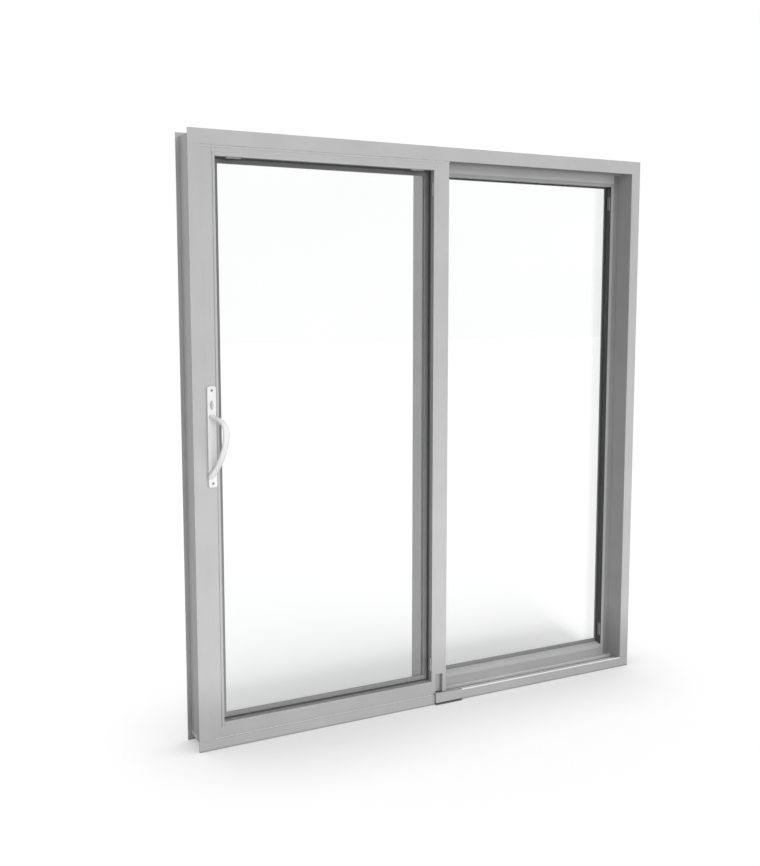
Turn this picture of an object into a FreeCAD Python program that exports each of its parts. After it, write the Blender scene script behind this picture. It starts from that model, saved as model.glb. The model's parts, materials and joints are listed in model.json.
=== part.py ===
"""Two-panel sliding glass door in an aluminium frame, in millimetres.

Origin: bottom centre of the frame's front face. +X runs right as seen from the room,
+Y from the room through the frame to the outside, and +Z up. The left panel slides along
+X on the sill's track, in front of the right panel, which is fixed.
"""
import FreeCAD, Part
import os

from FreeCAD import Vector

# Overall frame
WIDTH = 1829.0
HEIGHT = 2032.0
DEPTH = 126.0
HEAD_FACE = 48.0
JAMB_FACE = 40.0
SILL_FACE = 36.0
FLANGE = 3.0
WEB = 4.0
HEAD_RECESS = 12.0
JAMB_RECESS = 12.0
SILL_RECESS = 20.0

# Panels, seen from the front
RUN_GAP = 5.5
LOCK_OVERLAP = 15.0
HEAD_OVERLAP = 16.0
MEETING_OVERLAP = 83.0
MEETING_OFFSET = 4.0
LOCK_STILE = 66.0
INTERLOCK_STILE = 62.0
SLIDING_TOP_RAIL = 49.0
SLIDING_BOTTOM_RAIL = 58.0
JAMB_STILE = 39.0
FIXED_TOP_RAIL = 44.0
FIXED_BOTTOM_RAIL = 42.0

# Panels, through their thickness
SLIDING_GLASS_SET = 30.0
FIXED_GLASS_SET = 31.0
SLIDING_STOP = 3.0
FIXED_STOP = 4.0
PANE = 3.0
GLASS_GAP = 6.0

# Glazing
BEAD_FACE = 8.0
GROOVE_WIDTH = 5.0
GROOVE_DEPTH = 2.5
BEAD_JOINT = 0.2
GLASS_BITE = 10.0
SLIDING_GASKET = 8.0
FIXED_GASKET = 3.0
SLIDING_GASKET_SHOW = 4.0
FIXED_GASKET_SHOW = 3.0
SLIDING_SPACER_SHOW = 19.0
FIXED_SPACER_SHOW = 5.0
FIXED_FOOT_SHOW = 18.0
FIXED_FOOT_SLOPE = 6.0
CLIP_LENGTH = 50.0
CLIP_FROM_CORNER = 40.0
CLIP_HEIGHT = 5.0
CLIP_SETBACK = 4.0
CLIP_DEPTH = 13.0

# Track and rollers
TRACK_WIDTH = 4.0
TRACK_HEIGHT = 9.0
WHEEL_RADIUS = 13.0
WHEEL_WIDTH = 7.0
AXLE_RADIUS = 3.0
WHEEL_GAP = 0.3
WHEEL_HEADROOM = 3.0
WHEEL_FROM_END = 120.0

# Interlock stile
FOOT_NOTCH_WIDTH = 30.0
FOOT_NOTCH_TOP = 112.0
FOOT_NOTCH_DEPTH = 18.0
FOOT_NOTCH_FROM_EDGE = 15.0
SEAL_WIDTH = 9.0
SEAL_DEPTH = 9.0
SEAL_FROM_EDGE = 5.0

# Drain cover on the sill's front flange
DRAIN_LEFT = -7.0
DRAIN_LENGTH = 115.0
DRAIN_PROUD = 10.0
DRAIN_FLOOR_GAP = 5.0
DRAIN_TOP = 44.0
DRAIN_CHEST = 40.0
DRAIN_CREST = 6.0
DRAIN_REAR_SET = 0.5

# Handle and latch
HANDLE_HEIGHT = 1055.0
PLATE_LENGTH = 331.0
PLATE_WIDTH = 30.0
PLATE_THICK = 6.0
PLATE_OVER_GROOVE = 2.0
PLATE_ROUND = 7.0
PLATE_EDGE_ROUND = 1.5
GRIP_TOP_UP = 64.0
GRIP_FULL_UP = 14.0
GRIP_LOW_DOWN = 134.0
GRIP_FORWARD = 52.0
GRIP_SIDEWAYS = 29.0
GRIP_TOP_HALF = 9.0
GRIP_FULL_HALF = 13.5
GRIP_LOW_HALF = 13.0
GRIP_HALF_THICK = 8.0
GRIP_ROOT = 12.0
GRIP_STEPS = 5
TURN_FROM_TOP = 61.0
TURN_LENGTH = 30.0
TURN_WIDTH = 9.5
TURN_THICK = 6.0
TURN_ROUND = 2.0
SPINDLE_RADIUS = 4.0
SPINDLE_LENGTH = 5.0
SPINDLE_GAP = 0.1
KEEPER_THICK = 3.0
KEEPER_WIDTH = 20.0
KEEPER_LENGTH = 110.0

# Places worked out from the sizes above
LEFT = -WIDTH / 2
RIGHT = WIDTH / 2
REBATE = BEAD_FACE + GROOVE_WIDTH
GLASS = 2 * PANE + GLASS_GAP
SILL_TOP = SILL_RECESS + WEB
HEAD_LOW = HEIGHT - HEAD_FACE
HEAD_WEB_TOP = HEIGHT - HEAD_RECESS
HEAD_WEB_LOW = HEAD_WEB_TOP - WEB
REAR_FLANGE = DEPTH - FLANGE
JAMB_OUT = WIDTH / 2 - JAMB_RECESS
JAMB_IN = WIDTH / 2 - JAMB_FACE
SLIDING_FRONT = FLANGE + RUN_GAP
SLIDING_BACK = SLIDING_FRONT + SLIDING_GLASS_SET + GLASS + SLIDING_STOP
STEP_FRONT = SLIDING_BACK + RUN_GAP
FIXED_FRONT = REAR_FLANGE - FIXED_STOP - GLASS - FIXED_GLASS_SET
TRACK_TOP = SILL_TOP + TRACK_HEIGHT
TRACK_MIDDLE = (SLIDING_FRONT + SLIDING_BACK) / 2
SLOT_HALF = TRACK_WIDTH / 2 + RUN_GAP
WHEEL_MIDDLE = TRACK_TOP + WHEEL_GAP + WHEEL_RADIUS
PLATE_FRONT = SLIDING_FRONT - PLATE_THICK
PLATE_LOW = HANDLE_HEIGHT - PLATE_LENGTH / 2
PLATE_HIGH = HANDLE_HEIGHT + PLATE_LENGTH / 2
TURN_HEIGHT = PLATE_HIGH - TURN_FROM_TOP


def block(x_span, y_span, z_span):
    """A plain bar from its three spans, each (low, high)."""
    size = [high - low for low, high in (x_span, y_span, z_span)]
    return Part.makeBox(*size, Vector(x_span[0], y_span[0], z_span[0]))


def bar_along_x(outline, x_low, x_high):
    """A bar whose end is the outline's (y, z) corners."""
    corners = [Vector(x_low, y, z) for y, z in outline]
    face = Part.Face(Part.makePolygon(corners + corners[:1]))
    return face.extrude(Vector(x_high - x_low, 0, 0))


def save(name, *solids):
    """Write one node, which holds one solid or several that don't touch."""
    shape = solids[0] if len(solids) == 1 else Part.makeCompound(list(solids))
    if not shape.isValid():
        raise ValueError(name + " is not a valid shape")
    shape.exportStep(os.path.join("parts", name + ".step"))


def make_head():
    """The head: two full-width flanges, a thin web, and a box over the fixed panel."""
    across = (LEFT, RIGHT)
    inside = (-JAMB_OUT, JAMB_OUT)
    face = (HEAD_LOW, HEIGHT)
    save("head_front_flange", block(across, (0, FLANGE), face))
    save("head_rear_flange", block(across, (REAR_FLANGE, DEPTH), face))
    save("head_web", block(inside, (FLANGE, STEP_FRONT), (HEAD_WEB_LOW, HEAD_WEB_TOP)))
    save("head_box", block(inside, (STEP_FRONT, REAR_FLANGE), (HEAD_LOW, HEAD_WEB_TOP)))


def make_sill():
    """The sill stands on its two flanges, with the web, the step and the track between them."""
    across = (LEFT, RIGHT)
    inside = (-JAMB_OUT, JAMB_OUT)
    face = (0, SILL_FACE)
    save("sill_front_flange", block(across, (0, FLANGE), face))
    save("sill_rear_flange", block(across, (REAR_FLANGE, DEPTH), face))
    save("sill_web", block(inside, (FLANGE, REAR_FLANGE), (SILL_RECESS, SILL_TOP)))
    save("sill_step", block(inside, (STEP_FRONT, REAR_FLANGE), (SILL_TOP, SILL_FACE)))
    half = TRACK_WIDTH / 2
    rail = block(
        (-JAMB_IN, JAMB_IN),
        (TRACK_MIDDLE - half, TRACK_MIDDLE + half),
        (SILL_TOP, TRACK_TOP - half),
    )
    crown_start = Vector(-JAMB_IN, TRACK_MIDDLE, TRACK_TOP - half)
    crown = Part.makeCylinder(half, 2 * JAMB_IN, crown_start, Vector(1, 0, 0))
    save("roller_track", rail.fuse(crown).removeSplitter())


def make_jambs():
    """Each jamb has two flanges and a box. The left one has a pocket for the lock stile."""
    between = (SILL_FACE, HEAD_LOW)
    for side, x_sign in (("left", -1), ("right", 1)):
        face = sorted((x_sign * RIGHT, x_sign * JAMB_IN))
        box = sorted((x_sign * JAMB_OUT, x_sign * JAMB_IN))
        save(f"{side}_jamb_front_flange", block(face, (0, FLANGE), between))
        save(f"{side}_jamb_rear_flange", block(face, (REAR_FLANGE, DEPTH), between))
        save(f"{side}_jamb_box", block(box, (STEP_FRONT, REAR_FLANGE), between))
    pocket_y = (FLANGE, STEP_FRONT)
    pocket_z = (SILL_TOP, HEAD_WEB_LOW)
    save("left_jamb_web", block((-JAMB_OUT, -JAMB_OUT + WEB), pocket_y, pocket_z))
    save("right_jamb_cover", block((JAMB_IN, JAMB_OUT), pocket_y, pocket_z))


def make_drain_cover():
    """A short cover that hooks over the sill's front flange just right of the interlock."""
    rear = FLANGE - DRAIN_REAR_SET
    outline = [
        (0, DRAIN_FLOOR_GAP),
        (0, SILL_FACE),
        (rear, SILL_FACE),
        (rear, DRAIN_TOP),
        (-DRAIN_CREST, DRAIN_TOP),
        (-DRAIN_PROUD, DRAIN_CHEST),
        (-DRAIN_PROUD, DRAIN_FLOOR_GAP),
    ]
    save("sill_drain_cover", bar_along_x(outline, DRAIN_LEFT, DRAIN_LEFT + DRAIN_LENGTH))


class Panel:
    """One glazed panel: its outside, its sight opening and its layers from front to back."""

    def __init__(self, name, outside, members, layers, shows, foot_slope):
        self.name = name
        self.left, self.right, self.low, self.high = outside
        left_stile, right_stile, bottom_rail, top_rail = members
        self.open_left = self.left + left_stile
        self.open_right = self.right - right_stile
        self.open_low = self.low + bottom_rail
        self.open_high = self.high - top_rail
        self.front, glass_set, gasket, stop = layers
        self.glass_front = self.front + glass_set
        self.glass_back = self.glass_front + GLASS
        self.back = self.glass_back + stop
        self.bead_back = self.glass_front - gasket
        self.gasket_show, self.spacer_show, self.foot_show = shows
        self.foot_slope = foot_slope

    def sheet(self, reach, y_low, y_high):
        """A flat sheet that reaches past the sight opening by reach on all four sides."""
        x_span = (self.open_left - reach, self.open_right + reach)
        z_span = (self.open_low - reach, self.open_high + reach)
        return block(x_span, (y_low, y_high), z_span)

    def ring(self, outer, inner, y_low, y_high):
        """A flat ring around the sight opening, between two reaches."""
        hole = self.sheet(inner, y_low - 1, y_high + 1)
        return self.sheet(outer, y_low, y_high).cut(hole)

    def spacer(self, y_low, y_high):
        """The spacer between the panes, with a band of its own height along the foot."""
        ring = self.ring(GLASS_BITE, -self.spacer_show, y_low, y_high)
        x_span = (self.open_left + self.spacer_show, self.open_right - self.spacer_show)
        z_span = (self.open_low, self.open_low + self.foot_show)
        return ring.fuse(block(x_span, (y_low, y_high), z_span)).removeSplitter()

    def stiles(self):
        """The two uprights, each with the thin stop that the glass lies against."""
        body_y = (self.front, self.back)
        stop_y = (self.glass_back, self.back)
        tall = (self.low, self.high)
        sight = (self.open_low, self.open_high)
        left_edge = self.open_left - REBATE
        right_edge = self.open_right + REBATE
        left = block((self.left, left_edge), body_y, tall)
        left = left.fuse(block((left_edge, self.open_left), stop_y, sight))
        right = block((right_edge, self.right), body_y, tall)
        right = right.fuse(block((self.open_right, right_edge), stop_y, sight))
        return left, right

    def rails(self):
        """The bottom and top rails between the uprights, with their glass stops."""
        body_y = (self.front, self.back)
        stop_y = (self.glass_back, self.back)
        between = (self.open_left - REBATE, self.open_right + REBATE)
        low_edge = self.open_low - REBATE
        high_edge = self.open_high + REBATE
        bottom = block(between, body_y, (self.low, low_edge))
        bottom = bottom.fuse(block(between, stop_y, (low_edge, self.open_low)))
        top = block(between, body_y, (high_edge, self.high))
        top = top.fuse(block(between, stop_y, (self.open_high, high_edge)))
        return bottom, top

    def beads(self, grooved_left):
        """Four glazing beads. The left one can have a shallow groove, and the bottom one can slope."""
        bead_y = (self.front, self.bead_back)
        tall = (self.open_low - REBATE, self.open_high + REBATE)
        between = (self.open_left + BEAD_JOINT, self.open_right - BEAD_JOINT)
        left = block((self.open_left - REBATE, self.open_left), bead_y, tall)
        if grooved_left:
            groove_x = (self.open_left - REBATE, self.open_left - BEAD_FACE)
            left = left.cut(block(groove_x, (self.front, self.front + GROOVE_DEPTH), tall))
        right = block((self.open_right, self.open_right + REBATE), bead_y, tall)
        foot = self.open_low - REBATE
        bottom_outline = [
            (self.front, foot),
            (self.bead_back, foot),
            (self.bead_back, self.open_low + self.foot_slope),
            (self.front, self.open_low),
        ]
        bottom = bar_along_x(bottom_outline, *between)
        top = block(between, bead_y, (self.open_high, self.open_high + REBATE))
        return left, right, bottom, top

    def clips(self, along_top):
        """Glazing clips on the right bead's inner face, and on the top one's if asked, near the corners."""
        y_span = (self.front + CLIP_SETBACK, self.front + CLIP_SETBACK + CLIP_DEPTH)
        start = CLIP_FROM_CORNER
        end = CLIP_FROM_CORNER + CLIP_LENGTH
        right = (self.open_right - CLIP_HEIGHT, self.open_right)
        z_spans = [
            (self.open_low + start, self.open_low + end),
            (self.open_high - end, self.open_high - start),
        ]
        made = [block(right, y_span, z_span) for z_span in z_spans]
        if along_top:
            high = (self.open_high - CLIP_HEIGHT, self.open_high)
            x_spans = [
                (self.open_left + start, self.open_left + end),
                (self.open_right - end, self.open_right - start),
            ]
            made += [block(x_span, y_span, high) for x_span in x_spans]
        return made

    def save_glazing(self, grooved_left, clips_along_top):
        """Beads, clips, gasket, spacer and the two panes."""
        save(f"{self.name}_beads", *self.beads(grooved_left))
        save(f"{self.name}_glazing_clips", *self.clips(clips_along_top))
        gasket = self.ring(GLASS_BITE, -self.gasket_show, self.bead_back, self.glass_front)
        save(f"{self.name}_gasket", gasket)
        front_pane_back = self.glass_front + PANE
        rear_pane_front = self.glass_back - PANE
        save(f"{self.name}_spacer", self.spacer(front_pane_back, rear_pane_front))
        front_pane = self.sheet(GLASS_BITE, self.glass_front, front_pane_back)
        rear_pane = self.sheet(GLASS_BITE, rear_pane_front, self.glass_back)
        save(f"{self.name}_glass", front_pane, rear_pane)


def make_fixed_panel(panel):
    """The fixed panel stands on the sill's step. Its interlock stile reaches forward to the step's edge."""
    interlock, jamb_stile = panel.stiles()
    reach_x = (panel.left, panel.open_left - REBATE)
    interlock = interlock.fuse(block(reach_x, (STEP_FRONT, panel.front), (panel.low, panel.high)))
    bottom, top = panel.rails()
    save("fixed_interlock_stile", interlock.removeSplitter())
    save("fixed_jamb_stile", jamb_stile.removeSplitter())
    save("fixed_bottom_rail", bottom.removeSplitter())
    save("fixed_top_rail", top.removeSplitter())
    panel.save_glazing(grooved_left=False, clips_along_top=False)


def make_sliding_panel(panel):
    """The sliding panel straddles the track, and its interlock stile is notched at its foot."""
    lock, interlock = panel.stiles()
    bottom, top = panel.rails()
    slot_y = (TRACK_MIDDLE - SLOT_HALF, TRACK_MIDDLE + SLOT_HALF)
    slot_top = WHEEL_MIDDLE + WHEEL_RADIUS + WHEEL_HEADROOM
    across = (panel.left, panel.right)
    track_room = block(across, slot_y, (panel.low, TRACK_TOP + RUN_GAP))
    notch_right = panel.right - FOOT_NOTCH_FROM_EDGE
    notch = block(
        (notch_right - FOOT_NOTCH_WIDTH, notch_right),
        (panel.front, panel.front + FOOT_NOTCH_DEPTH),
        (panel.low, FOOT_NOTCH_TOP),
    )
    save("lock_stile", lock.cut(track_room).removeSplitter())
    save("interlock_stile", interlock.cut(track_room).cut(notch).removeSplitter())
    bottom = bottom.cut(block(across, slot_y, (panel.low, slot_top)))
    save("sliding_bottom_rail", bottom.removeSplitter())
    save("sliding_top_rail", top.removeSplitter())
    panel.save_glazing(grooved_left=True, clips_along_top=True)

    wheel_places = {
        "left_roller": panel.left + WHEEL_FROM_END,
        "right_roller": panel.right - WHEEL_FROM_END,
    }
    along_y = Vector(0, 1, 0)
    for name, x in wheel_places.items():
        wheel_start = Vector(x, TRACK_MIDDLE - WHEEL_WIDTH / 2, WHEEL_MIDDLE)
        wheel = Part.makeCylinder(WHEEL_RADIUS, WHEEL_WIDTH, wheel_start, along_y)
        axle_start = Vector(x, slot_y[0], WHEEL_MIDDLE)
        axle = Part.makeCylinder(AXLE_RADIUS, 2 * SLOT_HALF, axle_start, along_y)
        save(name, wheel.fuse(axle))

    seal_right = panel.right - SEAL_FROM_EDGE
    seal = block(
        (seal_right - SEAL_WIDTH, seal_right),
        (panel.back, panel.back + SEAL_DEPTH),
        (SILL_FACE + RUN_GAP, HEAD_LOW - RUN_GAP),
    )
    save("interlock_seal", seal)


def handle_plate(x_middle, y_face, outward):
    """A long plate on a stile's face. Outward is -1 towards the room and 1 to the outside."""
    y_span = sorted((y_face, y_face + outward * PLATE_THICK))
    half = PLATE_WIDTH / 2
    plate = block((x_middle - half, x_middle + half), y_span, (PLATE_LOW, PLATE_HIGH))
    corners = [e for e in plate.Edges if abs(e.BoundBox.YLength - PLATE_THICK) < 0.01]
    plate = plate.makeFillet(PLATE_ROUND, corners)
    outer = y_face + outward * PLATE_THICK
    rim = [e for e in plate.Edges if abs(e.BoundBox.YMin - outer) + abs(e.BoundBox.YMax - outer) < 0.01]
    return plate.makeFillet(PLATE_EDGE_ROUND, rim)


def grip_point(x_middle, y_face, outward, reach, height):
    """A point of the grip's slanting plane, at a share of its full reach."""
    return Vector(x_middle + reach * GRIP_SIDEWAYS, y_face + outward * reach * GRIP_FORWARD, height)


def oval_section(place, along, across, half_width):
    """An oval across a path, at a place where the path runs along."""
    oval = Part.Ellipse()
    oval.MajorRadius = half_width
    oval.MinorRadius = GRIP_HALF_THICK
    section = Part.Wire([oval.toShape()])
    turn = FreeCAD.Rotation(across, along.cross(across), along, "ZXY")
    section.Placement = FreeCAD.Placement(place, turn)
    return section


def handle_grip(x_middle, y_face, outward):
    """A bowed grip that leaves the plate at its top, leans towards the glass and widens to its foot."""
    def at(reach, height):
        return grip_point(x_middle, y_face, outward, reach, height)

    root = -GRIP_ROOT / GRIP_FORWARD
    top = HANDLE_HEIGHT + GRIP_TOP_UP
    fullest = HANDLE_HEIGHT + GRIP_FULL_UP
    low = HANDLE_HEIGHT - GRIP_LOW_DOWN
    rise = top - fullest
    drop = fullest - low
    upper = Part.BezierCurve()
    upper.setPoles([at(root, top), at(0.6, top), at(1.0, top - rise / 3), at(1.0, fullest)])
    lower = Part.BezierCurve()
    lower.setPoles([at(1.0, fullest), at(1.0, fullest - drop / 3), at(0.5, low + drop / 4), at(root, low)])
    across = Vector(0, 0, 1).cross(at(1.0, top).sub(at(0, top)).normalize())
    sections = []
    spans = ((upper, GRIP_TOP_HALF, GRIP_FULL_HALF, 0), (lower, GRIP_FULL_HALF, GRIP_LOW_HALF, 1))
    for curve, start_half, end_half, first in spans:
        for step in range(first, GRIP_STEPS + 1):
            share = step / GRIP_STEPS
            half = start_half + (end_half - start_half) * share
            along = curve.tangent(share)[0]
            sections.append(oval_section(curve.value(share), along, across, half))
    sweep = Part.makeLoft(sections, True, False)
    span = PLATE_HIGH - PLATE_LOW
    keep_y = sorted((y_face, y_face + outward * 3 * GRIP_FORWARD))
    keep = block((x_middle - span, x_middle + span), keep_y, (PLATE_LOW, PLATE_HIGH))
    return sweep.common(keep)


def thumb_turn(x_middle):
    """A lens-shaped turn on a short spindle, upright when the door is unlatched."""
    half_length = TURN_LENGTH / 2
    half_width = TURN_WIDTH / 2
    back = PLATE_FRONT - SPINDLE_GAP
    top = Vector(x_middle, back, TURN_HEIGHT + half_length)
    bottom = Vector(x_middle, back, TURN_HEIGHT - half_length)
    left = Vector(x_middle - half_width, back, TURN_HEIGHT)
    right = Vector(x_middle + half_width, back, TURN_HEIGHT)
    rim = Part.Wire([Part.Arc(top, right, bottom).toShape(), Part.Arc(bottom, left, top).toShape()])
    lens = Part.Face(rim).extrude(Vector(0, -TURN_THICK, 0))
    front = back - TURN_THICK
    edges = [e for e in lens.Edges if abs(e.BoundBox.YMin - front) + abs(e.BoundBox.YMax - front) < 0.01]
    lens = lens.makeFillet(TURN_ROUND, edges)
    centre = Vector(x_middle, back, TURN_HEIGHT)
    spindle = Part.makeCylinder(SPINDLE_RADIUS, SPINDLE_GAP + SPINDLE_LENGTH, centre, Vector(0, 1, 0))
    return lens.fuse(spindle)


def make_handles(panel):
    """The room-side handle with its thumb turn, the outside pull, and the keeper in the jamb."""
    x_middle = panel.open_left - REBATE + PLATE_OVER_GROOVE - PLATE_WIDTH / 2
    inner_plate = handle_plate(x_middle, panel.front, -1)
    hole_start = Vector(x_middle, PLATE_FRONT, TURN_HEIGHT)
    hole = Part.makeCylinder(SPINDLE_RADIUS + SPINDLE_GAP, PLATE_THICK, hole_start, Vector(0, 1, 0))
    save("handle_plate", inner_plate.cut(hole))
    save("handle_grip", handle_grip(x_middle, PLATE_FRONT, -1))
    save("outer_handle_plate", handle_plate(x_middle, panel.back, 1))
    save("outer_handle_grip", handle_grip(x_middle, panel.back + PLATE_THICK, 1))
    save("thumb_turn", thumb_turn(x_middle))

    web_in = -JAMB_OUT + WEB
    half_length = KEEPER_LENGTH / 2
    keeper = block(
        (web_in, web_in + KEEPER_THICK),
        (TRACK_MIDDLE - KEEPER_WIDTH / 2, TRACK_MIDDLE + KEEPER_WIDTH / 2),
        (HANDLE_HEIGHT - half_length, HANDLE_HEIGHT + half_length),
    )
    save("lock_keeper", keeper)


def main():
    os.makedirs("parts", exist_ok=True)
    make_head()
    make_sill()
    make_jambs()
    make_drain_cover()
    meeting_left = MEETING_OFFSET - MEETING_OVERLAP / 2
    meeting_right = MEETING_OFFSET + MEETING_OVERLAP / 2
    fixed = Panel(
        "fixed",
        (meeting_left, JAMB_IN, SILL_FACE, HEAD_LOW),
        (INTERLOCK_STILE, JAMB_STILE, FIXED_BOTTOM_RAIL, FIXED_TOP_RAIL),
        (FIXED_FRONT, FIXED_GLASS_SET, FIXED_GASKET, FIXED_STOP),
        (FIXED_GASKET_SHOW, FIXED_SPACER_SHOW, FIXED_FOOT_SHOW),
        FIXED_FOOT_SLOPE,
    )
    make_fixed_panel(fixed)
    sliding = Panel(
        "sliding",
        (-JAMB_IN - LOCK_OVERLAP, meeting_right, SILL_TOP + RUN_GAP, HEAD_LOW + HEAD_OVERLAP),
        (LOCK_STILE, INTERLOCK_STILE, SLIDING_BOTTOM_RAIL, SLIDING_TOP_RAIL),
        (SLIDING_FRONT, SLIDING_GLASS_SET, SLIDING_GASKET, SLIDING_STOP),
        (SLIDING_GASKET_SHOW, SLIDING_SPACER_SHOW, SLIDING_SPACER_SHOW),
        0.0,
    )
    make_sliding_panel(sliding)
    make_handles(sliding)


main()
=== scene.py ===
"""Looks of the two-panel sliding glass door: finishes, seals, screws, floor, light and camera."""

import json
import math

import bpy
from mathutils import Euler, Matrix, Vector


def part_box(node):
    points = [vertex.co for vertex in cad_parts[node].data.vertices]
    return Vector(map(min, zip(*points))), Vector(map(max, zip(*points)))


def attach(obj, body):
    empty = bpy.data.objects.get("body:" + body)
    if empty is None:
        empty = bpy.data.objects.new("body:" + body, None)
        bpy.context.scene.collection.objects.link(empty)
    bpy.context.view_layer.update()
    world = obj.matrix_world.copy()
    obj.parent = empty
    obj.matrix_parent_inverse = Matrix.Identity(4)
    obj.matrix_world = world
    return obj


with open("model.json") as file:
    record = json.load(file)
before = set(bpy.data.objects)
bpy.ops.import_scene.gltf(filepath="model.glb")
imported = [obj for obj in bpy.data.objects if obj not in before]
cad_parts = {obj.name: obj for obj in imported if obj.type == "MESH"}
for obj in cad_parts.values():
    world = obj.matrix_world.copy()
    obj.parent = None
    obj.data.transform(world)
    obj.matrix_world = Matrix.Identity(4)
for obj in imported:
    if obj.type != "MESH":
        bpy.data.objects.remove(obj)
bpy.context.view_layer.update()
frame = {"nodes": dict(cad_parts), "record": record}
NODES = frame["nodes"]
SLOTS = {row["node"]: row["material_slot"] for row in frame["record"]["subparts"]}
MM_PER_M = 1000

# Camera, solved from the four corners of the frame's front face
IMAGE_LONG_SIDE = 866
FOCAL_PIXELS = 1076.0
PRINCIPAL_RIGHT = 13.3
PRINCIPAL_UP = 10.4
SENSOR = 36.0
CAMERA_PLACE = (-1.983, -3.318, 1.505)
CAMERA_YAW = 28.46
CAMERA_PITCH = 6.62
CAMERA_ROLL = -0.06

# Suns, as share of full light, width, and degrees right of the front and above the floor
KEY_SUN = (0.65, 80.0, 14.0, 12.0)
BACK_SUN = (0.35, 80.0, 180.0, 20.0)
FLOOR_SUN = (2.5, 10.0, -19.0, 6.5)
# Only pieces that end below this height block the floor's sun
LOW_PIECE = 0.25

# Other light
AMBIENT = 0.4
FILL_POWER = 10.0
FILL_PLACE = (-0.25, -1.5, 0.25)
FILL_SIZE = (2.2, 0.3)

# Floor: its colour as seen and as it lights the door, its own glow, and the reach of the contact shade
FLOOR_HALF = 30.0
FLOOR_SEEN = 0.97
FLOOR_BOUNCE = 0.53
FLOOR_GLOW = 0.38
CONTACT_REACH = 0.55
CONTACT_SAMPLES = 8

# Finishes, as linear greys, some paler or darker than the coat as painted light and painted shade
FRAME_GREY = 0.54
# Paler coat for the fixed top rail and the sill step: painted light where they sit in shade
PALER_LIT_GREY = 0.62
# The fixed stile and rail are darker than the frame's coat: painted shade of their recess
FIXED_STILE_SHADED_GREY = 0.31
FIXED_RAIL_SHADED_GREY = 0.5
# The fixed beads are darker than the frame's coat: painted shade of the fixed panel's recess
FIXED_BEAD_SHADED_GREY = 0.44
# A pale strip on the sill's lip stands for its highlight: painted highlight
SILL_HIGHLIGHT_GREY = 0.8
# The track is paler so it shows bright in the channel's shade: painted light
TRACK_LIT_GREY = 0.85
CLIP_GREY = 0.34
# The fixed panel's clips are darker than the others: painted shade
FIXED_CLIP_SHADED_GREY = 0.25
GASKET_GREY = 0.09
SPACER_GREY = 0.46
# Pile is pale to hide the shadow lines under the flanges: partly painted light
PILE_LIT_GREY = 0.75
HANDLE_WHITE = 0.9
THUMB_GREY = 0.6
ROLLER_GREY = 0.6
STEEL_GREY = 0.55
SCREW_GREY = 0.3
PAINT_ROUGHNESS = 0.42
TRIM_ROUGHNESS = 0.35
SHADOW_THROUGH_GLASS = 0.99

# Share of the paint's brightness at heights above the floor, darker towards the floor as painted shade
FOOT_SHADE_SHARES = [(0.0, 0.45), (0.003, 0.5), (0.007, 0.71), (0.08, 0.73), (0.25, 1.0)]
# On the drain cover a near-black band at the foot is a painted shadow of the gap beneath it
COVER_SHADOW_SHARES = [(0.0, 0.05), (0.0085, 0.05), (0.0095, 0.71), (0.25, 1.0)]

# Parts of a surface's direction over which the fixed beads' painted shade on left-facing faces and painted
# highlight on upward faces begin
SIDE_SHADE_TURN = (-0.9, -0.6)
BEAD_HIGHLIGHT_TURN = (0.3, 0.8)
BEAD_HIGHLIGHT_SHARE = 1.5

# Span of a noise that is used, and how far grain stretches along a profile
NOISE_SPAN = (0.3, 0.7)
ALONG_X = (0.02, 1, 1)
ALONG_Z = (1, 1, 0.02)
EVEN = (1, 1, 1)

# Soft edges
EDGE_ROUND = 0.0005
EDGE_STEPS = 2
WELD_REACH = EDGE_ROUND / 20

# Outlines of strips, as (across, up) corners in millimetres
PILE_OUTLINE = [
    (-2.6, 0.0), (-2.6, 0.8), (-1.7, 0.8), (-1.5, 2.8), (-1.1, 4.4), (-0.5, 4.9),
    (0.5, 4.9), (1.1, 4.4), (1.5, 2.8), (1.7, 0.8), (2.6, 0.8), (2.6, 0.0),
]
# The head seal's fin hangs below the flange and covers the flange's shadow on the top rail with a pale face:
# painted light
HEAD_SEAL_SHADE_COVER_OUTLINE = [(2.6, 0.0), (2.6, 0.8), (1.4, 1.2), (0.4, 4.9), (-8.6, 4.9), (-9.0, 4.5), (-2.5, 0.0)]
# A dark strip under the drain cover, standing in for the shadow in the gap beneath it
DRAIN_SHADOW_OUTLINE = [
    (-4.7, 0.3), (-4.7, 3.0), (-4.1, 4.9), (4.1, 4.9), (4.7, 3.0), (4.7, 0.3), (3.5, 0.05), (-3.5, 0.05),
]
SILL_HIGHLIGHT_OUTLINE = [(-1.3, 0.0), (-1.3, 3.0), (-0.9, 3.9), (0.0, 4.3), (0.9, 3.9), (1.3, 3.0), (1.3, 0.0)]

# Places of strips: pile from a flange's edge, and the others in from the drain cover's ends
PILE_FROM_EDGE = 0.0027
DRAIN_SHADOW_SET = 0.002
SILL_HIGHLIGHT_SET = 0.004

# Distance between a strip's rows of points
STRIP_STEP = 0.02
# Ragged pile: its wave in millimetres, the phase of each row and corner, and the height it starts at
PILE_RAGGED = 0.06
RAGGED_ROW = 12.9
RAGGED_COLUMN = 4.1
RAGGED_FROM = 1

# Screws in the handle plates
SCREW_FROM_END = 0.0135
SCREW_RADIUS = 0.004
SCREW_RISE = 0.0011
SCREW_DOME_FALL = 0.35
SCREW_SLOT = 0.00055
SCREW_SLOT_REACH = 0.0021
SCREW_SLOT_DEPTH = 0.0009
SCREW_RINGS = 16
SCREW_SECTORS = 48


def new_material(name):
    """A node material, its tree and its main shader."""
    material = bpy.data.materials.new(name)
    material.use_nodes = True
    tree = material.node_tree
    return material, tree, tree.nodes["Principled BSDF"]


def add(tree, kind, **inputs):
    """A node of that kind with its named inputs set."""
    node = tree.nodes.new(kind)
    for key, value in inputs.items():
        node.inputs[key.replace("_", " ")].default_value = value
    return node


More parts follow.
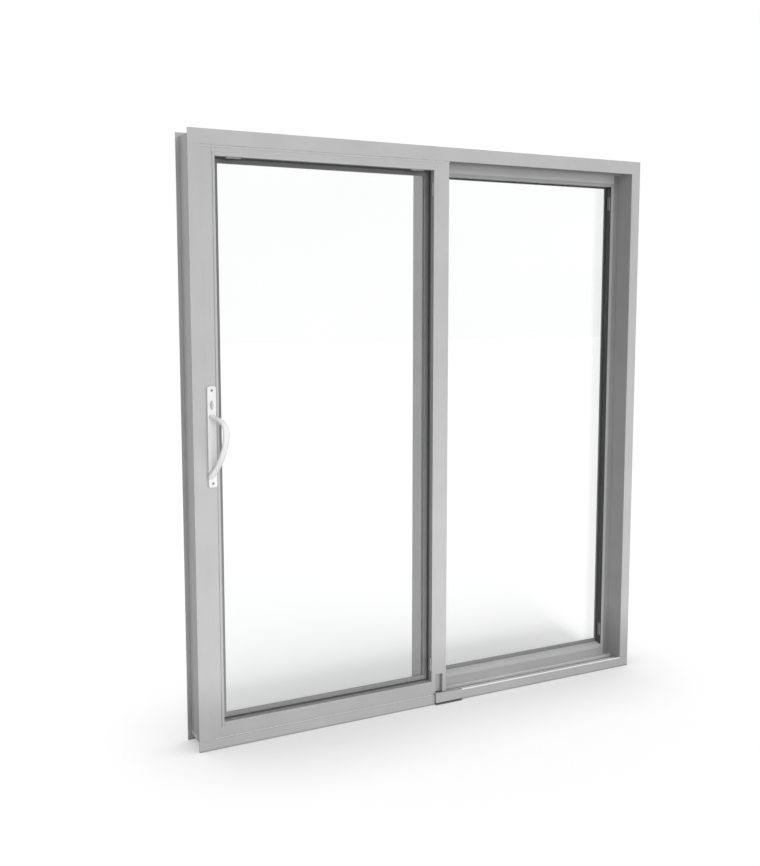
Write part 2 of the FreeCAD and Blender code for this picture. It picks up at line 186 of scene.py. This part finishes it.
def grain(tree, scale, stretch=EVEN, detail=3.0):
    """A noise in the object's own metres, stretched along its axes."""
    place = tree.nodes.new("ShaderNodeTexCoord")
    mapping = add(tree, "ShaderNodeMapping", Scale=stretch)
    noise = add(tree, "ShaderNodeTexNoise", Scale=scale, Detail=detail)
    tree.links.new(place.outputs["Object"], mapping.inputs["Vector"])
    tree.links.new(mapping.outputs["Vector"], noise.inputs["Vector"])
    return noise


def spread(tree, source, span, result):
    """Map a number from one span to another, held at both ends."""
    ends = {"From_Min": span[0], "From_Max": span[1], "To_Min": result[0], "To_Max": result[1]}
    node = add(tree, "ShaderNodeMapRange", **ends)
    tree.links.new(source, node.inputs["Value"])
    return node.outputs["Result"]


def combine(tree, operation, first, second):
    """Two numbers joined by one operation."""
    node = tree.nodes.new("ShaderNodeMath")
    node.operation = operation
    tree.links.new(first, node.inputs[0])
    tree.links.new(second, node.inputs[1])
    return node.outputs["Value"]


def times(tree, colour, share):
    """A colour at a share of its brightness."""
    node = tree.nodes.new("ShaderNodeVectorMath")
    node.operation = "SCALE"
    tree.links.new(colour, node.inputs[0])
    tree.links.new(share, node.inputs["Scale"])
    return node.outputs["Vector"]


def along(tree, vector, axis):
    """One part of a vector."""
    node = tree.nodes.new("ShaderNodeSeparateXYZ")
    tree.links.new(vector, node.inputs["Vector"])
    return node.outputs[axis]


def vary(tree, source, middle, swing, socket):
    """Drive a number socket from a noise, to either side of a value."""
    tree.links.new(spread(tree, source.outputs["Fac"], NOISE_SPAN, (middle - swing, middle + swing)), socket)


def tint(tree, source, low, high):
    """A colour between two colours, from a noise."""
    ramp = tree.nodes.new("ShaderNodeValToRGB")
    for stop, position, colour in zip(ramp.color_ramp.elements, NOISE_SPAN, (low, high)):
        stop.position = position
        stop.color = colour
    tree.links.new(source.outputs["Fac"], ramp.inputs["Fac"])
    return ramp.outputs["Color"]


def bump(tree, source, shader, strength, depth):
    """Fine relief from a noise."""
    relief = add(tree, "ShaderNodeBump", Strength=strength, Distance=depth)
    tree.links.new(source.outputs["Fac"], relief.inputs["Height"])
    tree.links.new(relief.outputs["Normal"], shader.inputs["Normal"])


def neutral(grey):
    """A colour without hue."""
    return (grey, grey, grey, 1)


def foot_painted_shade(tree, height, shares):
    """Share of the paint's brightness at a height, darker near the floor as painted shade."""
    top = shares[-1][0]
    ramp = tree.nodes.new("ShaderNodeValToRGB")
    stops = ramp.color_ramp.elements
    while len(stops) < len(shares):
        stops.new(1.0)
    for stop, (at, share) in zip(stops, shares):
        stop.position = at / top
        stop.color = neutral(share)
    tree.links.new(spread(tree, height, (0.0, top), (0.0, 1.0)), ramp.inputs["Fac"])
    return ramp.outputs["Color"]


def coated_metal(name, grey, stretch, roughness=PAINT_ROUGHNESS, shares=FOOT_SHADE_SHARES, shaded_and_highlit=False):
    """Satin coating with a faint draw grain; it can darken towards the foot as painted shade, and on beads
    darken left-facing faces as painted shade and lighten upward faces as painted highlight.
    """
    material, tree, shader = new_material(name)
    draw = grain(tree, scale=260.0, stretch=stretch, detail=4.0)
    cloud = grain(tree, scale=5.0)
    peel = grain(tree, scale=900.0, detail=2.0)
    place = tree.nodes.new("ShaderNodeTexCoord")
    paint = tint(tree, cloud, neutral(grey * 0.96), neutral(grey * 1.04))
    # painted shade: the coat darkens towards the floor
    if shares:
        height = along(tree, place.outputs["Object"], "Z")
        paint = times(tree, paint, foot_painted_shade(tree, height, shares))
    # painted shade on left-facing faces and painted highlight on upward faces
    if shaded_and_highlit:
        sideways = along(tree, place.outputs["Normal"], "X")
        upwards = along(tree, place.outputs["Normal"], "Z")
        paint = times(tree, paint, spread(tree, sideways, SIDE_SHADE_TURN, (GASKET_GREY / grey, 1.0)))
        paint = times(tree, paint, spread(tree, upwards, BEAD_HIGHLIGHT_TURN, (1.0, BEAD_HIGHLIGHT_SHARE)))
    tree.links.new(paint, shader.inputs["Base Color"])
    vary(tree, draw, roughness, 0.06, shader.inputs["Roughness"])
    bump(tree, peel, shader, strength=0.06, depth=0.0003)
    shader.inputs["Specular IOR Level"].default_value = 0.4
    return material


def rubber(name, grey):
    """Matt glazing rubber or pile."""
    material, tree, shader = new_material(name)
    fine = grain(tree, scale=700.0)
    tree.links.new(tint(tree, fine, neutral(grey * 0.8), neutral(grey * 1.2)), shader.inputs["Base Color"])
    vary(tree, fine, 0.65, 0.1, shader.inputs["Roughness"])
    bump(tree, fine, shader, strength=0.1, depth=0.0002)
    return material


def moulded_plastic(name, grey, roughness, coat=0.0):
    """Moulded plastic with a slight flow and, on the handle, a clear skin."""
    material, tree, shader = new_material(name)
    flow = grain(tree, scale=40.0, stretch=(1, 1, 0.3))
    fine = grain(tree, scale=500.0)
    tree.links.new(tint(tree, flow, neutral(grey * 0.97), neutral(grey * 1.02)), shader.inputs["Base Color"])
    vary(tree, flow, roughness, 0.05, shader.inputs["Roughness"])
    bump(tree, fine, shader, strength=0.03, depth=0.0002)
    shader.inputs["Coat Weight"].default_value = coat
    shader.inputs["Coat Roughness"].default_value = 0.08
    return material


def bare_metal(name, grey, roughness, stretch):
    """Bare drawn metal with scratches along its length."""
    material, tree, shader = new_material(name)
    draw = grain(tree, scale=300.0, stretch=stretch, detail=6.0)
    tree.links.new(tint(tree, draw, neutral(grey * 0.85), neutral(grey * 1.1)), shader.inputs["Base Color"])
    vary(tree, draw, roughness, 0.1, shader.inputs["Roughness"])
    bump(tree, draw, shader, strength=0.1, depth=0.0002)
    shader.inputs["Metallic"].default_value = 1.0
    return material


def clear_glass(name):
    """Clear float glass that lets most of the light through to the floor."""
    material, tree, shader = new_material(name)
    ripple = grain(tree, scale=1.5, detail=1.0)
    clear = tint(tree, ripple, (0.985, 0.99, 0.988, 1), (0.995, 1.0, 0.997, 1))
    tree.links.new(clear, shader.inputs["Base Color"])
    shader.inputs["Roughness"].default_value = 0.0
    shader.inputs["IOR"].default_value = 1.45
    shader.inputs["Transmission Weight"].default_value = 1.0
    path = tree.nodes.new("ShaderNodeLightPath")
    through = add(tree, "ShaderNodeBsdfTransparent", Color=neutral(SHADOW_THROUGH_GLASS))
    mix = tree.nodes.new("ShaderNodeMixShader")
    tree.links.new(path.outputs["Is Shadow Ray"], mix.inputs["Fac"])
    tree.links.new(shader.outputs["BSDF"], mix.inputs[1])
    tree.links.new(through.outputs["BSDF"], mix.inputs[2])
    tree.links.new(mix.outputs["Shader"], tree.nodes["Material Output"].inputs["Surface"])
    return material


MATERIALS = {
    "across": coated_metal("coated metal across", FRAME_GREY, ALONG_X),
    "upright": coated_metal("coated metal upright", FRAME_GREY, ALONG_Z),
    "paler": coated_metal("coated metal with painted light", PALER_LIT_GREY, ALONG_X, shares=None),
    "shaded_and_highlit": coated_metal(
        "coated metal with painted side shade and top highlight", FIXED_BEAD_SHADED_GREY, ALONG_Z, shares=None, shaded_and_highlit=True,
    ),
    "fixed stile": coated_metal("coated fixed stile with painted shade", FIXED_STILE_SHADED_GREY, ALONG_Z),
    "fixed rail": coated_metal("coated fixed rail with painted shade", FIXED_RAIL_SHADED_GREY, ALONG_X),
    "cover": coated_metal("drain cover coat with painted shadow", FRAME_GREY, ALONG_X, shares=COVER_SHADOW_SHARES),
    "edge": coated_metal("painted highlight on the sill edge", SILL_HIGHLIGHT_GREY, ALONG_X, TRIM_ROUGHNESS, shares=None),
    "track": coated_metal("track with painted light", TRACK_LIT_GREY, ALONG_X, TRIM_ROUGHNESS, shares=None),
    "keeper": bare_metal("steel keeper", STEEL_GREY, 0.3, ALONG_Z),
    "screw": bare_metal("steel screw", SCREW_GREY, 0.25, EVEN),
    "gasket": rubber("glazing rubber", GASKET_GREY),
    "pile": rubber("pale pile with painted light", PILE_LIT_GREY),
    "clip": moulded_plastic("grey clip", CLIP_GREY, 0.5),
    "fixed clip": moulded_plastic("grey clip with painted shade", FIXED_CLIP_SHADED_GREY, 0.5),
    "spacer": moulded_plastic("spacer band", SPACER_GREY, 0.55),
    "roller": moulded_plastic("roller", ROLLER_GREY, 0.4),
    "handle": moulded_plastic("white handle", HANDLE_WHITE, 0.28, coat=0.6),
    "thumb": moulded_plastic("grey thumb turn", THUMB_GREY, 0.35, coat=0.3),
    "glass": clear_glass("clear glass"),
}
# Nodes with a finish of their own: the thumb turn's grey, and otherwise coats with painted light and painted
# shade
OWN_FINISH_AND_PAINTED_LIGHT = {
    "fixed_beads": "shaded_and_highlit",
    "fixed_glazing_clips": "fixed clip",
    "fixed_top_rail": "paler",
    "fixed_jamb_stile": "fixed stile",
    "fixed_bottom_rail": "fixed rail",
    "sill_step": "paler",
    "sill_drain_cover": "cover",
    "thumb_turn": "thumb",
}


def finish_nodes():
    """Give each CAD node its finish, some with painted light and painted shade, and slightly soft edges to
    profiles and clips.
    """
    for name, node in NODES.items():
        slot = SLOTS[name]
        finish = slot
        if slot == "frame":
            finish = "upright" if "jamb" in name or "stile" in name else "across"
        node.data.materials.clear()
        node.data.materials.append(MATERIALS[OWN_FINISH_AND_PAINTED_LIGHT.get(name, finish)])
        if slot in ("frame", "clip"):
            weld = node.modifiers.new("weld", "WELD")
            weld.merge_threshold = WELD_REACH
            soft = node.modifiers.new("soft edges", "BEVEL")
            soft.width = EDGE_ROUND
            soft.segments = EDGE_STEPS
            soft.limit_method = "ANGLE"
            soft.harden_normals = True


def new_piece(name, points, faces, material, body):
    """A mesh piece in the frame's metres that rides on a body."""
    mesh = bpy.data.meshes.new(name)
    mesh.from_pydata(points, [], faces)
    mesh.validate()
    mesh.shade_flat()
    mesh.materials.append(MATERIALS[material])
    piece = bpy.data.objects.new(name, mesh)
    bpy.context.scene.collection.objects.link(piece)
    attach(piece, body)


def strip(name, outline, ends, across, up, material, body):
    """A strip between two ends. Its outline's corners are (across, up) in millimetres."""
    ragged = PILE_RAGGED if material == "pile" else 0.0
    start, end = Vector(ends[0]), Vector(ends[1])
    across, up = Vector(across), Vector(up)
    count = max(2, round((end - start).length / STRIP_STEP))
    size = len(outline)
    points = []
    for row in range(count + 1):
        middle = start.lerp(end, row / count)
        for column, (side, rise) in enumerate(outline):
            phase = row * RAGGED_ROW + column * RAGGED_COLUMN
            wave = math.sin(phase) * ragged if rise > RAGGED_FROM else 0.0
            points.append(middle + across * (side + wave) / MM_PER_M + up * (rise + wave) / MM_PER_M)
    faces = []
    for row in range(count):
        low = row * size
        for column in range(size):
            after = (column + 1) % size
            faces.append((low + column, low + after, low + size + after, low + size + column))
    faces.append(tuple(range(size)))
    faces.append(tuple(count * size + column for column in reversed(range(size))))
    if (end - start).cross(across).dot(up) > 0:
        faces = [face[::-1] for face in faces]
    new_piece(name, points, faces, material, body)


def make_strips():
    """Pale seals behind the flanges and on the bottom rail, which cover the shadow lines there as painted
    light, a dark strip under the drain cover as painted shadow, and a pale strip on the sill's lip as
    painted highlight.
    """
    head_low, head_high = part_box("head_front_flange")
    sill_low, sill_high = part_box("sill_front_flange")
    jamb_low, jamb_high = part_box("left_jamb_front_flange")
    right_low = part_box("right_jamb_front_flange")[0]
    stile_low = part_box("lock_stile")[0]
    interlock_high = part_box("interlock_stile")[1]
    cover_low, cover_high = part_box("sill_drain_cover")
    away, forward, upward, right = (0, 1, 0), (0, -1, 0), (0, 0, 1), (1, 0, 0)

    back = head_high[1]
    head_z = head_low[2] + PILE_FROM_EDGE
    ends = (jamb_high[0], back, head_z), (interlock_high[0], back, head_z)
    strip("head_seal_shade_cover", HEAD_SEAL_SHADE_COVER_OUTLINE, ends, upward, away, "pile", "frame")

    jamb_x = jamb_high[0] - PILE_FROM_EDGE
    ends = (jamb_x, back, jamb_low[2]), (jamb_x, back, jamb_high[2])
    strip("jamb_pile", PILE_OUTLINE, ends, right, away, "pile", "frame")

    front = stile_low[1]
    rail_z = sill_high[2] - PILE_FROM_EDGE
    ends = (stile_low[0], front, rail_z), (interlock_high[0], front, rail_z)
    strip("rail_pile", PILE_OUTLINE, ends, upward, forward, "pile", "sliding_panel")

    # dark strip under the drain cover as painted shadow
    shadow_strip_y = (cover_low[1] + sill_low[1]) / 2
    ends = (cover_low[0] + DRAIN_SHADOW_SET, shadow_strip_y, 0), (cover_high[0] - DRAIN_SHADOW_SET, shadow_strip_y, 0)
    strip("drain_cover_shadow_strip", DRAIN_SHADOW_OUTLINE, ends, away, upward, "gasket", "frame")

    # pale strip on the sill's lip as a painted highlight
    highlight_y = (sill_low[1] + sill_high[1]) / 2
    ends = (cover_high[0] + SILL_HIGHLIGHT_SET, highlight_y, sill_high[2]), (right_low[0], highlight_y, sill_high[2])
    strip("sill_highlight_strip", SILL_HIGHLIGHT_OUTLINE, ends, away, upward, "edge", "frame")


def screw_rise(x, z):
    """Height of a domed screw head with a cross slot, at a place on it."""
    radius = math.hypot(x, z)
    dome = SCREW_RISE * (1 - SCREW_DOME_FALL * (radius / SCREW_RADIUS) ** 2)
    in_slot = min(abs(x), abs(z)) < SCREW_SLOT and radius < SCREW_SLOT_REACH
    return dome - SCREW_SLOT_DEPTH if in_slot else dome


def screw(name, place, outward):
    """A small screw head on a plate. Outward is -1 towards the room and 1 to the outside."""
    centre = Vector(place)
    angles = [2 * math.pi * sector / SCREW_SECTORS for sector in range(SCREW_SECTORS)]
    points = [centre + Vector((0, outward * screw_rise(0, 0), 0))]
    for ring in range(1, SCREW_RINGS + 1):
        radius = SCREW_RADIUS * ring / SCREW_RINGS
        for angle in angles:
            x, z = radius * math.cos(angle), radius * math.sin(angle)
            points.append(centre + Vector((x, outward * screw_rise(x, z), z)))
    for angle in angles:
        points.append(centre + SCREW_RADIUS * Vector((math.cos(angle), 0, math.sin(angle))))
    faces = []
    for sector in range(SCREW_SECTORS):
        after = (sector + 1) % SCREW_SECTORS
        faces.append((0, 1 + sector, 1 + after))
        for ring in range(SCREW_RINGS):
            inner = 1 + ring * SCREW_SECTORS
            outer = inner + SCREW_SECTORS
            faces.append((inner + sector, outer + sector, outer + after, inner + after))
    foot = 1 + SCREW_RINGS * SCREW_SECTORS
    faces.append(tuple(foot + sector for sector in reversed(range(SCREW_SECTORS))))
    if outward > 0:
        faces = [face[::-1] for face in faces]
    new_piece(name, points, faces, "screw", "sliding_panel")


def make_screws():
    """Two screws in each handle plate."""
    for node, outward, label in (("handle_plate", -1, "room"), ("outer_handle_plate", 1, "outside")):
        low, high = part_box(node)
        middle = (low[0] + high[0]) / 2
        face = low[1] if outward < 0 else high[1]
        screw(f"{label}_top_screw", (middle, face, high[2] - SCREW_FROM_END), outward)
        screw(f"{label}_bottom_screw", (middle, face, low[2] + SCREW_FROM_END), outward)


def seen_rays(tree):
    """1 for rays that show the background: straight, in gloss or through glass."""
    path = tree.nodes.new("ShaderNodeLightPath")
    seen = combine(tree, "MAXIMUM", path.outputs["Is Camera Ray"], path.outputs["Is Glossy Ray"])
    seen = combine(tree, "MAXIMUM", seen, path.outputs["Is Transmission Ray"])
    direct = spread(tree, path.outputs["Diffuse Depth"], (0, 1), (1, 0))
    return combine(tree, "MULTIPLY", seen, direct)


def make_floor():
    """A pale floor that shows white where it's lit and keeps the door's shadow."""
    mesh = bpy.data.meshes.new("floor")
    corners = [(-1, -1), (1, -1), (1, 1), (-1, 1)]
    mesh.from_pydata([(FLOOR_HALF * x, FLOOR_HALF * y, 0) for x, y in corners], [], [(0, 1, 2, 3)])
    floor = bpy.data.objects.new("floor", mesh)
    bpy.context.scene.collection.objects.link(floor)
    mesh.materials.append(floor_material())
    return floor


def floor_material():
    """Matt and pale, with a contact shade and a little glow where it is seen."""
    material = bpy.data.materials.new("pale floor")
    material.use_nodes = True
    tree = material.node_tree
    tree.nodes.clear()
    seen = seen_rays(tree)
    near = add(tree, "ShaderNodeAmbientOcclusion", Distance=CONTACT_REACH)
    near.samples = CONTACT_SAMPLES
    colour = tree.nodes.new("ShaderNodeMix")
    colour.data_type = "RGBA"
    colour.inputs["A"].default_value = neutral(FLOOR_BOUNCE)
    diffuse = tree.nodes.new("ShaderNodeBsdfDiffuse")
    glow = tree.nodes.new("ShaderNodeEmission")
    both = tree.nodes.new("ShaderNodeAddShader")
    output = tree.nodes.new("ShaderNodeOutputMaterial")
    tree.links.new(seen, colour.inputs["Factor"])
    tree.links.new(spread(tree, near.outputs["AO"], (0, 1), (0, FLOOR_SEEN)), colour.inputs["B"])
    tree.links.new(colour.outputs["Result"], diffuse.inputs["Color"])
    tree.links.new(spread(tree, seen, (0, 1), (0, FLOOR_GLOW)), glow.inputs["Strength"])
    tree.links.new(diffuse.outputs["BSDF"], both.inputs[0])
    tree.links.new(glow.outputs["Emission"], both.inputs[1])
    tree.links.new(both.outputs["Shader"], output.inputs["Surface"])
    return material


def group(name, items):
    """A collection of objects that a lamp lights, or that block it."""
    collection = bpy.data.collections.new(name)
    for item in items:
        collection.objects.link(item)
    return collection


def place_lamp(name, light, place, towards, lit):
    """A lamp with its back towards a direction, which lights some objects and isn't seen or reflected."""
    lamp = bpy.data.objects.new(name, light)
    lamp.location = place
    lamp.rotation_mode = "QUATERNION"
    lamp.rotation_quaternion = Vector(towards).to_track_quat("Z", "Y")
    lamp.light_linking.receiver_collection = group(name, lit)
    lamp.visible_camera = False
    lamp.visible_glossy = False
    lamp.visible_transmission = False
    bpy.context.scene.collection.objects.link(lamp)
    return lamp


def lamp_sun(name, sun, lit):
    """A broad sun that lights some of the objects."""
    share, width, from_front, height = sun
    light = bpy.data.lights.new(name, "SUN")
    light.energy = share * math.pi
    light.angle = math.radians(width)
    turn = math.radians(from_front)
    rise = math.radians(height)
    towards = (math.sin(turn) * math.cos(rise), -math.cos(turn) * math.cos(rise), math.sin(rise))
    return place_lamp(name, light, (0, 0, 0), towards, lit)


def make_world():
    """White surroundings that light the door softly."""
    world = bpy.data.worlds.new("studio")
    bpy.context.scene.world = world
    world.use_nodes = True
    tree = world.node_tree
    back = tree.nodes["Background"]
    back.inputs["Color"].default_value = neutral(1)
    tree.links.new(spread(tree, seen_rays(tree), (0, 1), (AMBIENT, 1.0)), back.inputs["Strength"])


def make_lamps(floor):
    """Broad keys for the door and the floor, and a low fill in front of the door."""
    door = [item for item in bpy.context.scene.objects if item.type == "MESH" and item != floor]
    low = [node for name, node in NODES.items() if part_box(name)[1][2] < LOW_PIECE]
    lamp_sun("key", KEY_SUN, door)
    floor_key = lamp_sun("floor key", FLOOR_SUN, [floor])
    floor_key.light_linking.blocker_collection = group("low pieces", low)
    lamp_sun("back key", BACK_SUN, door)
    fill = bpy.data.lights.new("fill", "AREA")
    fill.shape = "RECTANGLE"
    fill.size, fill.size_y = FILL_SIZE
    fill.energy = FILL_POWER
    place_lamp("fill", fill, FILL_PLACE, (0, -1, 0), door)


def make_camera():
    """The photograph's view."""
    data = bpy.data.cameras.new("view")
    data.sensor_width = SENSOR
    data.lens = FOCAL_PIXELS / IMAGE_LONG_SIDE * SENSOR
    data.shift_x = -PRINCIPAL_RIGHT / IMAGE_LONG_SIDE
    data.shift_y = -PRINCIPAL_UP / IMAGE_LONG_SIDE
    camera = bpy.data.objects.new("view", data)
    camera.location = CAMERA_PLACE
    pitch = math.radians(90 - CAMERA_PITCH)
    camera.rotation_euler = Euler((pitch, math.radians(CAMERA_ROLL), math.radians(-CAMERA_YAW)))
    bpy.context.scene.collection.objects.link(camera)
    bpy.context.scene.camera = camera


finish_nodes()
make_strips()
make_screws()
make_world()
make_lamps(make_floor())
make_camera()
bpy.context.scene.view_settings.view_transform = "Standard"
